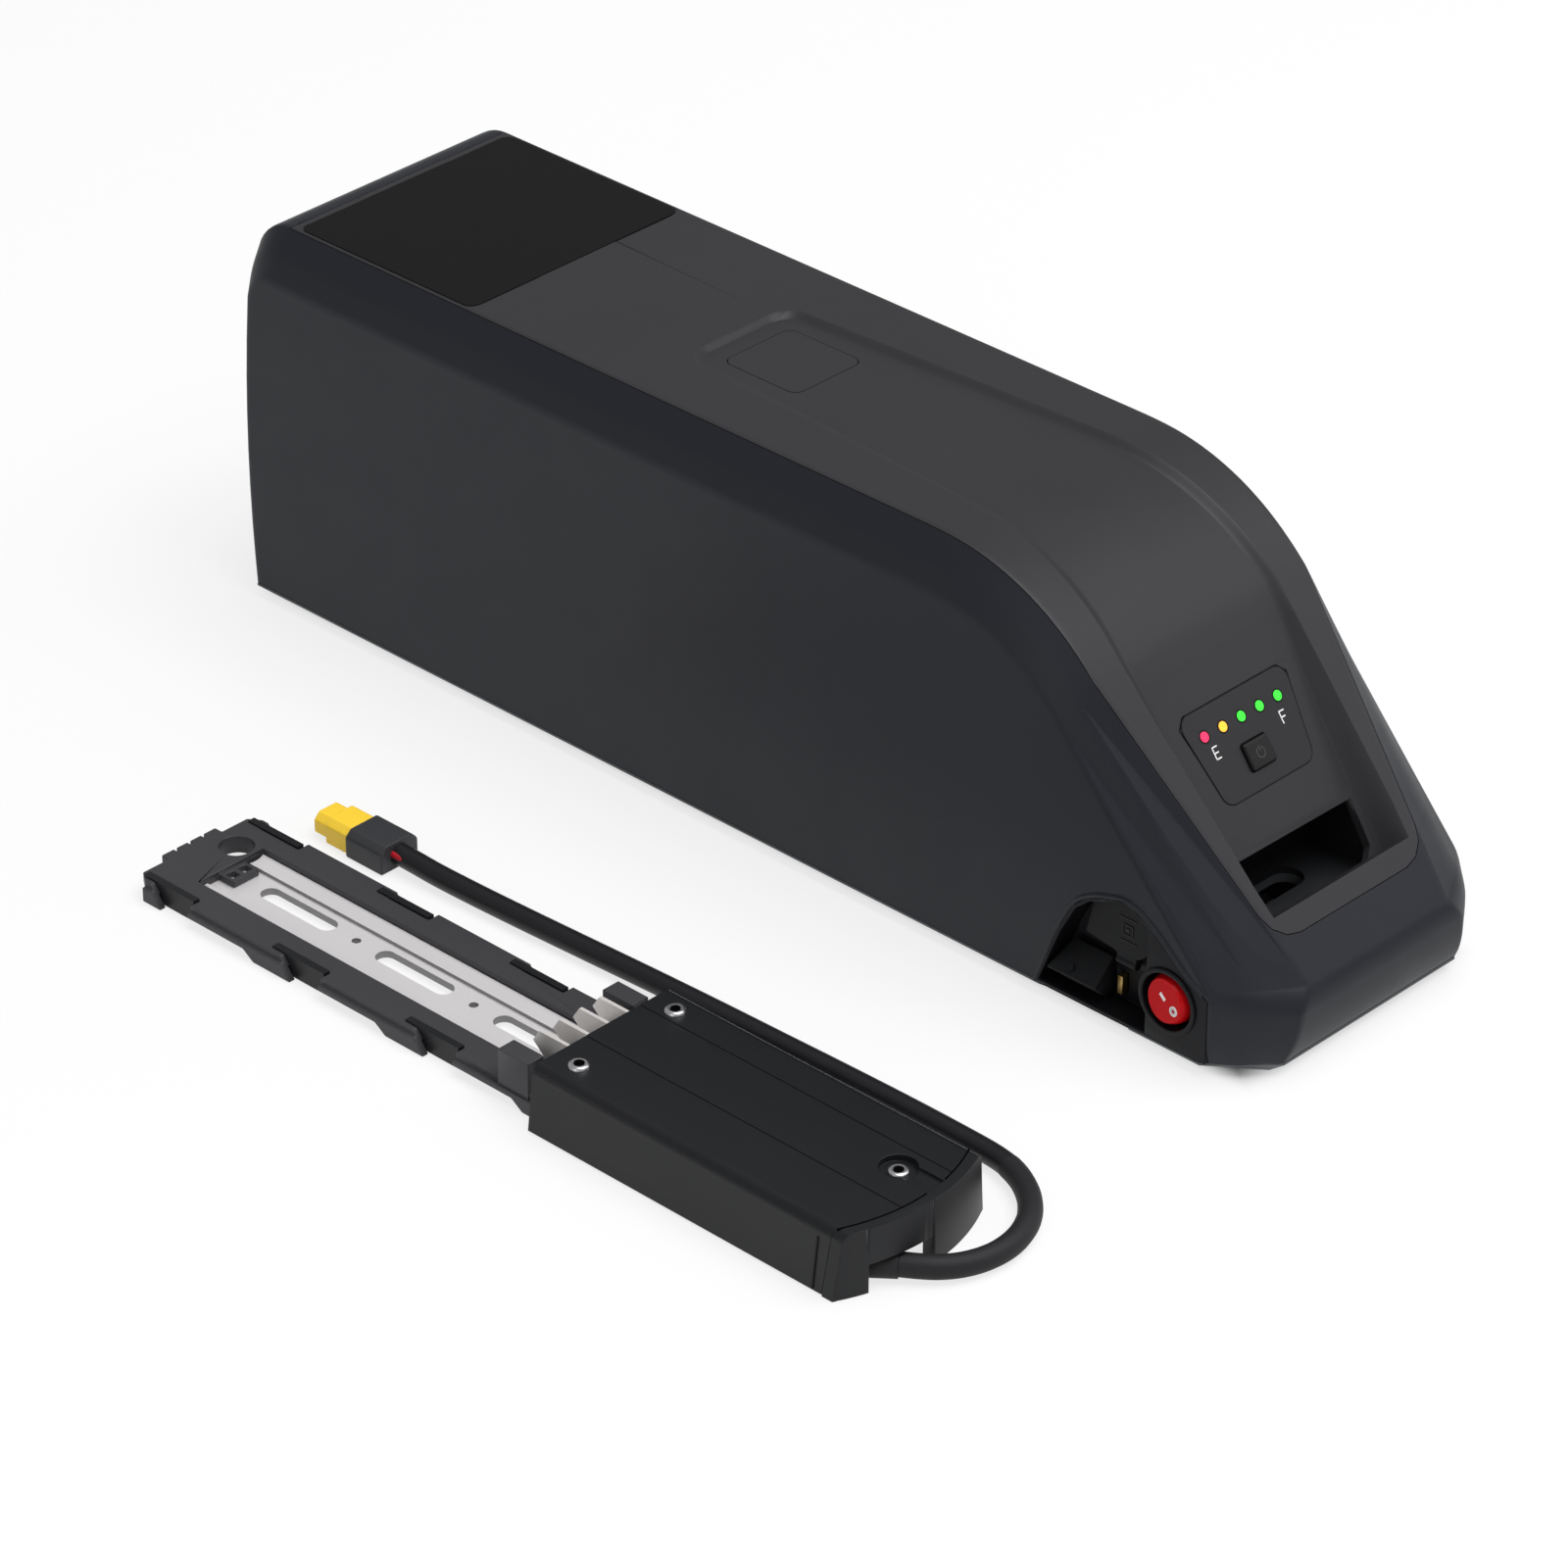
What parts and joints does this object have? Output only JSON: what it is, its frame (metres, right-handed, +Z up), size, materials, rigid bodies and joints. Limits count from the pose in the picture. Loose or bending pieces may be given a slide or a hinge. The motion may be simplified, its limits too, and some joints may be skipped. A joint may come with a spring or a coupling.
{
  "type": "downtube battery pack",
  "caption": "Electric bicycle battery pack with a charge gauge, key lock and rocker switch, beside its mounting rail with a controller box, blade contacts and a cable.",
  "frame": {"origin": "middle of the pack and its mounting base together, on the surface that both stand on", "axes": "+X from the label end to the nose with the handle opening, +Y from the mounting base to the pack, +Z up"},
  "size_m": [0.3515, 0.2182, 0.11],
  "materials": {
    "side_plastic": "fine grained black-grey",
    "top_plastic": "fine grained warm dark grey",
    "inner_plastic": "plain moulded",
    "label_gloss": "smooth film",
    "gauge_plastic": "satin film",
    "red_lens": "lit lens",
    "amber_lens": "lit lens",
    "green_lens": "lit lens",
    "black_plastic": "satin",
    "black_gloss": "satin",
    "circuit_board": "solder mask",
    "plated_steel": "plated",
    "black_steel": "blackened",
    "contact_brass": "plain",
    "blade_copper": "tinned over copper",
    "black_rubber": "satin",
    "red_gloss": "smooth",
    "cell_sleeve": null,
    "holder_plastic": "plain moulded",
    "foam_rubber": "foam",
    "red_rubber": "insulation",
    "base_plastic": "fine grained",
    "plate_aluminium": "fine brushed",
    "cover_metal": "matte black",
    "cable_sleeve": "satin",
    "collar_plastic": "satin",
    "yellow_plastic": "satin"
  },
  "bodies": {
    "base": {"base_rail": "base_plastic", "base_plate": "plate_aluminium", "blade_block": "base_plastic", "blade_contacts": "blade_copper", "controller_board": "circuit_board", "controller_parts": "black_plastic", "controller_cover": "cover_metal", "end_cap": "base_plastic", "cover_screw_set": "plated_steel", "cable_gland": "black_rubber", "cable": "cable_sleeve", "connector_collar": "collar_plastic", "connector_body": "yellow_plastic", "connector_pins": "contact_brass"},
    "pack": {"side_shell": "side_plastic", "top_cover": "top_plastic", "bottom_cover": "inner_plastic", "label_plate": "label_gloss", "badge_plate": "top_plastic", "gauge_panel": "gauge_plastic", "gauge_lens_low": "red_lens", "gauge_lens_half": "amber_lens", "gauge_lenses_full": "green_lens", "gauge_board": "circuit_board", "handle_cup": "inner_plastic", "port_panel": "side_plastic", "charge_socket": "black_plastic", "charge_pin": "plated_steel", "usb_socket": "plated_steel", "fuse_contact": "contact_brass", "switch_bezel": "black_gloss", "switch_pivot": "plated_steel", "switch_tabs": "contact_brass", "case_screws": "black_steel", "lock_housing": "black_plastic", "cell_bank_1": "cell_sleeve", "cell_bank_2": "cell_sleeve", "cell_bank_3": "cell_sleeve", "cell_bank_4": "cell_sleeve", "cell_holder_near": "holder_plastic", "cell_holder_far": "holder_plastic", "nickel_strips_near": "plated_steel", "nickel_strips_far": "plated_steel", "foam_pads": "foam_rubber", "bms_board": "circuit_board", "bms_parts": "black_plastic", "pack_leads": "red_rubber", "discharge_socket": "black_plastic", "discharge_clips": "contact_brass"},
    "power_button_body": {"power_button": "black_plastic"},
    "rocker_body": {"rocker": "red_gloss"},
    "charge_cap_body": {"charge_cap": "black_rubber"},
    "usb_flap_body": {"usb_flap": "black_rubber"},
    "lock_barrel_body": {"lock_barrel": "plated_steel"},
    "lock_bolt_body": {"lock_bolt": "plated_steel"}
  },
  "joints": [
    {"name": "pack_lift", "type": "slide", "parent": "base", "child": "pack", "axis": [0, 0, 1], "range_m": [0, 0.12]},
    {"name": "power_press", "type": "slide", "parent": "pack", "child": "power_button_body", "axis": [-0.8049, 0, -0.5934], "range_m": [0, 0.0008], "stiffness_N_per_m": 400},
    {"name": "switch_rock", "type": "hinge", "parent": "pack", "child": "rocker_body", "pos_m": [0.1467, 0.02, 0.0168], "axis": [0.6157, 0, 0.788], "range_deg": [0, 16]},
    {"name": "charge_cap_turn", "type": "hinge", "parent": "pack", "child": "charge_cap_body", "pos_m": [0.132, 0.0199, 0.02], "axis": [1, 0, 0], "range_deg": [0, 100]},
    {"name": "flap_turn", "type": "hinge", "parent": "pack", "child": "usb_flap_body", "pos_m": [0.115, 0.01798, 0.00868], "axis": [1, 0, 0], "range_deg": [0, 100]},
    {"name": "key_turn", "type": "hinge", "parent": "pack", "child": "lock_barrel_body", "pos_m": [-0.09662, 0.0931, 0.0155], "axis": [0, -1, 0], "range_deg": [0, 90]},
    {"name": "bolt_lift", "type": "slide", "parent": "pack", "child": "lock_bolt_body", "axis": [0, 0, 1], "range_m": [0, 0.006]}
  ],
  "couplings": [
    {"joint": "bolt_lift", "follows": "key_turn", "m_per_rad": 0.0038197}
  ]
}
